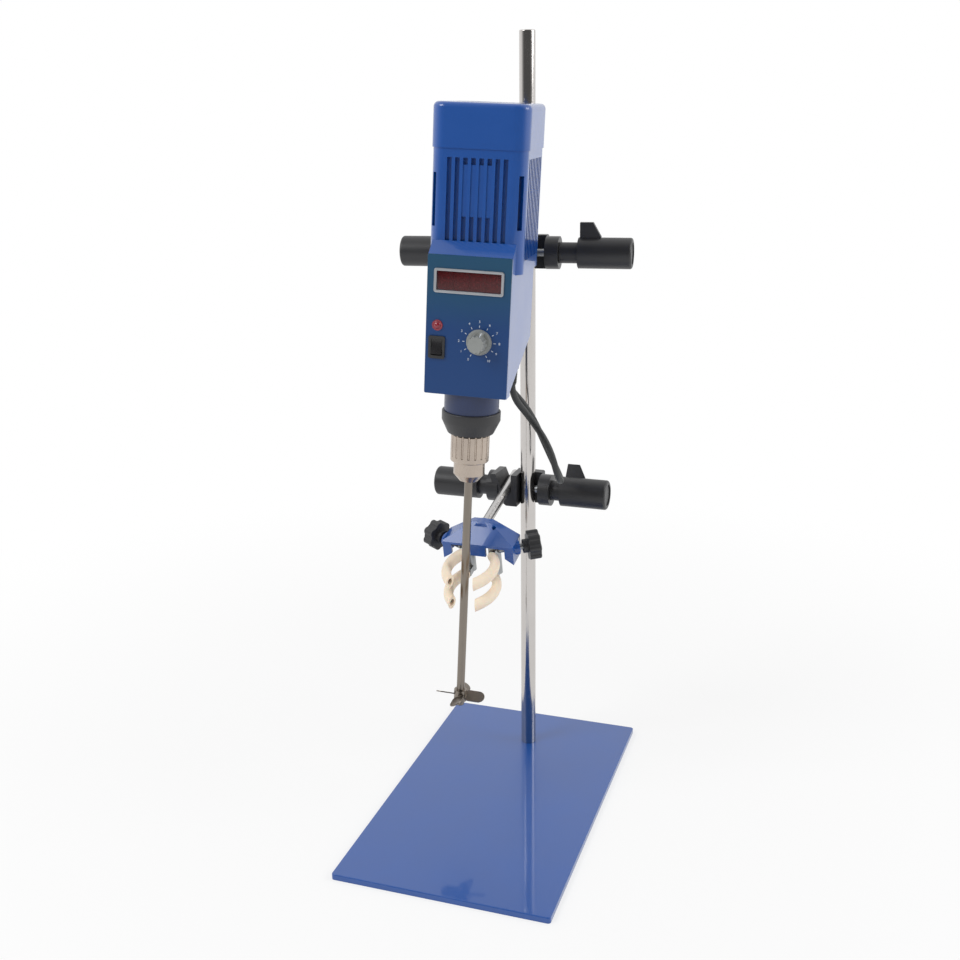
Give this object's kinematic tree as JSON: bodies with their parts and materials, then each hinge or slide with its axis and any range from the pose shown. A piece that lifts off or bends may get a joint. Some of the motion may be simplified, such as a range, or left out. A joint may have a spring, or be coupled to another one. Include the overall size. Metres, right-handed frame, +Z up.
{
  "type": "overhead stirrer",
  "caption": "Overhead laboratory stirrer on a rod stand, with a finned motor, gear head, speed panel, keyless chuck, propeller shaft, flask clamp and mains lead.",
  "frame": {"origin": "middle of the base plate's underside", "axes": "+Z up along the column, -Y towards the front where the head points, +X to the right"},
  "size_m": [0.2388, 0.364, 0.768],
  "materials": {
    "blue_paint": "gloss",
    "bright_steel": "polished",
    "screw_steel": "zinc plated",
    "chuck_steel": "satin",
    "black_casting": "semi-matt",
    "cast_metal": "satin",
    "black_plastic": "semi-matt",
    "grey_plastic": "matt",
    "silver_frame": "satin",
    "dark_window": "gloss",
    "board": "satin",
    "lamp": "gloss",
    "cream_rubber": "matt",
    "copper": "laminated, varnished windings",
    "cord_rubber": "matt"
  },
  "bodies": {
    "base": {"base_plate": "blue_paint", "column_screw": "screw_steel"},
    "column": {"column": "bright_steel"},
    "upper_clamp": {"upper_boss": "black_casting"},
    "upper_left_knob": {"upper_left_knob": "black_plastic", "upper_left_stud": "screw_steel"},
    "upper_right_knob": {"upper_right_knob": "black_plastic", "upper_right_stud": "screw_steel"},
    "lower_clamp": {"lower_boss": "black_casting"},
    "lower_left_knob": {"lower_left_knob": "black_plastic", "lower_left_stud": "screw_steel"},
    "lower_right_knob": {"lower_right_knob": "black_plastic", "lower_right_stud": "screw_steel"},
    "arm": {"support_arm": "bright_steel"},
    "head": {"motor_bracket": "cast_metal", "gear_case": "blue_paint", "control_box": "blue_paint", "front_panel": "blue_paint", "display_bezel": "silver_frame", "display_window": "dark_window", "display_board": "board", "pilot_lamp": "lamp", "switch_housing": "black_plastic", "speed_control": "black_plastic", "motor_body": "blue_paint", "motor_end_bell": "blue_paint", "motor_bolts": "screw_steel", "stator": "copper", "motor_bearings": "chuck_steel", "fan_cover": "blue_paint", "bearing_cap": "black_plastic", "spindle_bearings": "chuck_steel", "cord_gland": "cord_rubber", "mains_lead": "cord_rubber", "lead_coil": "cord_rubber", "mains_plug": "cord_rubber"},
    "motor_rotor": {"rotor": "chuck_steel", "cooling_fan": "black_plastic"},
    "spindle": {"spindle": "chuck_steel", "spindle_gear": "chuck_steel", "chuck_body": "chuck_steel"},
    "chuck_sleeve": {"chuck_sleeve": "chuck_steel"},
    "chuck_jaw_1": {"chuck_jaw_1": "chuck_steel"},
    "chuck_jaw_2": {"chuck_jaw_2": "chuck_steel"},
    "chuck_jaw_3": {"chuck_jaw_3": "chuck_steel"},
    "stirrer": {"stir_shaft": "bright_steel", "propeller": "bright_steel"},
    "power_rocker": {"power_rocker": "black_plastic"},
    "speed_knob": {"speed_knob": "grey_plastic"},
    "flask_clamp": {"flask_rod": "bright_steel", "flask_head": "blue_paint", "jaw_pins": "bright_steel"},
    "left_jaw": {"left_jaw": "bright_steel", "left_sleeves": "cream_rubber"},
    "right_jaw": {"right_jaw": "bright_steel", "right_sleeves": "cream_rubber"},
    "left_star_screw": {"left_star_screw": "screw_steel"},
    "right_star_screw": {"right_star_screw": "screw_steel"},
    "left_star_knob": {"left_star_knob": "black_plastic"},
    "right_star_knob": {"right_star_knob": "black_plastic"}
  },
  "joints": [
    {"name": "column_turn", "type": "hinge", "parent": "base", "child": "column", "pos_m": [0, 0.117, 0.006], "axis": [0, 0, 1], "range_deg": [-45, 45]},
    {"name": "head_lift", "type": "slide", "parent": "column", "child": "upper_clamp", "axis": [0, 0, 1], "range_m": [-0.015, 0.04]},
    {"name": "head_reach", "type": "slide", "parent": "upper_clamp", "child": "arm", "axis": [0.0872, -0.9962, 0], "range_m": [-0.005, 0.005]},
    {"name": "head_roll", "type": "hinge", "parent": "arm", "child": "head", "pos_m": [-0.02192, 0.11508, 0.553], "axis": [0.0872, -0.9962, 0], "range_deg": [-0.2, 1.5]},
    {"name": "upper_left_knob_turn", "type": "hinge", "parent": "upper_clamp", "child": "upper_left_knob", "pos_m": [0, 0.117, 0.553], "axis": [-0.9962, -0.0872, 0], "range_deg": [-10, 270]},
    {"name": "upper_right_knob_turn", "type": "hinge", "parent": "upper_clamp", "child": "upper_right_knob", "pos_m": [0, 0.117, 0.553], "axis": [0.9962, 0.0872, 0], "range_deg": [-10, 270]},
    {"name": "lower_left_knob_turn", "type": "hinge", "parent": "lower_clamp", "child": "lower_left_knob", "pos_m": [0, 0.117, 0.303], "axis": [-0.9999, 0.0122, 0], "range_deg": [-10, 270]},
    {"name": "lower_right_knob_turn", "type": "hinge", "parent": "lower_clamp", "child": "lower_right_knob", "pos_m": [0, 0.117, 0.303], "axis": [0.9999, -0.0122, 0], "range_deg": [-10, 270]},
    {"name": "motor_turn", "type": "hinge", "parent": "head", "child": "motor_rotor", "pos_m": [-0.01331, 0.01545, 0.551], "axis": [0.0521, 0.0046, 0.9986], "continuous": true},
    {"name": "spindle_turn", "type": "hinge", "parent": "head", "child": "spindle", "pos_m": [-0.01059, -0.01442, 0.553], "axis": [0.0521, 0.0046, 0.9986], "continuous": true},
    {"name": "sleeve_turn", "type": "hinge", "parent": "spindle", "child": "chuck_sleeve", "pos_m": [-0.01059, -0.01442, 0.553], "axis": [0.0521, 0.0046, 0.9986], "range_deg": [0, 288]},
    {"name": "chuck_jaw_1_slide", "type": "slide", "parent": "spindle", "child": "chuck_jaw_1", "axis": [0.2241, 0.0196, 0.9744], "range_m": [0, 0.008]},
    {"name": "chuck_jaw_2_slide", "type": "slide", "parent": "spindle", "child": "chuck_jaw_2", "axis": [-0.0481, 0.1467, 0.988], "range_m": [0, 0.008]},
    {"name": "chuck_jaw_3_slide", "type": "slide", "parent": "spindle", "child": "chuck_jaw_3", "axis": [-0.0219, -0.1529, 0.988], "range_m": [0, 0.008]},
    {"name": "shaft_slide", "type": "slide", "parent": "spindle", "child": "stirrer", "axis": [0.0521, 0.0046, 0.9986], "range_m": [-0.02, 0]},
    {"name": "switch_rock", "type": "hinge", "parent": "head", "child": "power_rocker", "pos_m": [-0.03955, -0.04627, 0.48456], "axis": [0.9948, 0.087, -0.0523], "range_deg": [0, 22]},
    {"name": "speed_turn", "type": "hinge", "parent": "head", "child": "speed_knob", "pos_m": [0.0002, -0.04359, 0.48988], "axis": [-0.0872, 0.9962, 0], "range_deg": [-172, 128]},
    {"name": "lower_lift", "type": "slide", "parent": "column", "child": "lower_clamp", "axis": [0, 0, 1], "range_m": [-0.025, 0.01]},
    {"name": "flask_reach", "type": "slide", "parent": "lower_clamp", "child": "flask_clamp", "axis": [-0.0119, -0.9762, -0.2164], "range_m": [-0.003, 0.008]},
    {"name": "left_jaw_swing", "type": "hinge", "parent": "flask_clamp", "child": "left_jaw", "pos_m": [-0.03518, 0.02077, 0.28557], "axis": [0.0026, 0.2164, -0.9763], "range_deg": [-2, 10]},
    {"name": "left_screw_slide", "type": "slide", "parent": "flask_clamp", "child": "left_star_screw", "axis": [-0.8773, 0.4691, 0.1016], "range_m": [-0.0004, 0.002]},
    {"name": "left_star_turn", "type": "hinge", "parent": "left_star_screw", "child": "left_star_knob", "pos_m": [-0.03941, 0.0143, 0.26876], "axis": [-0.8773, 0.4691, 0.1016], "range_deg": [-116, 570]},
    {"name": "right_jaw_swing", "type": "hinge", "parent": "flask_clamp", "child": "right_jaw", "pos_m": [-0.00718, 0.02043, 0.28557], "axis": [-0.0026, -0.2164, 0.9763], "range_deg": [-2, 10]},
    {"name": "right_screw_slide", "type": "slide", "parent": "flask_clamp", "child": "right_star_screw", "axis": [0.8885, 0.4475, 0.1016], "range_m": [-0.0004, 0.002]},
    {"name": "right_star_turn", "type": "hinge", "parent": "right_star_screw", "child": "right_star_knob", "pos_m": [-0.00311, 0.01386, 0.26876], "axis": [0.8885, 0.4475, 0.1016], "range_deg": [-116, 570]}
  ],
  "couplings": [
    {"joint": "spindle_turn", "follows": "motor_turn", "ratio": -0.33333},
    {"joint": "chuck_jaw_1_slide", "follows": "sleeve_turn", "m_per_rad": 0.0015914},
    {"joint": "chuck_jaw_2_slide", "follows": "sleeve_turn", "m_per_rad": 0.0015914},
    {"joint": "chuck_jaw_3_slide", "follows": "sleeve_turn", "m_per_rad": 0.0015914},
    {"joint": "left_screw_slide", "follows": "left_jaw_swing", "m_per_rad": 0.0113},
    {"joint": "left_star_turn", "follows": "left_jaw_swing", "ratio": 56.8},
    {"joint": "right_screw_slide", "follows": "right_jaw_swing", "m_per_rad": 0.0113},
    {"joint": "right_star_turn", "follows": "right_jaw_swing", "ratio": 56.8}
  ]
}
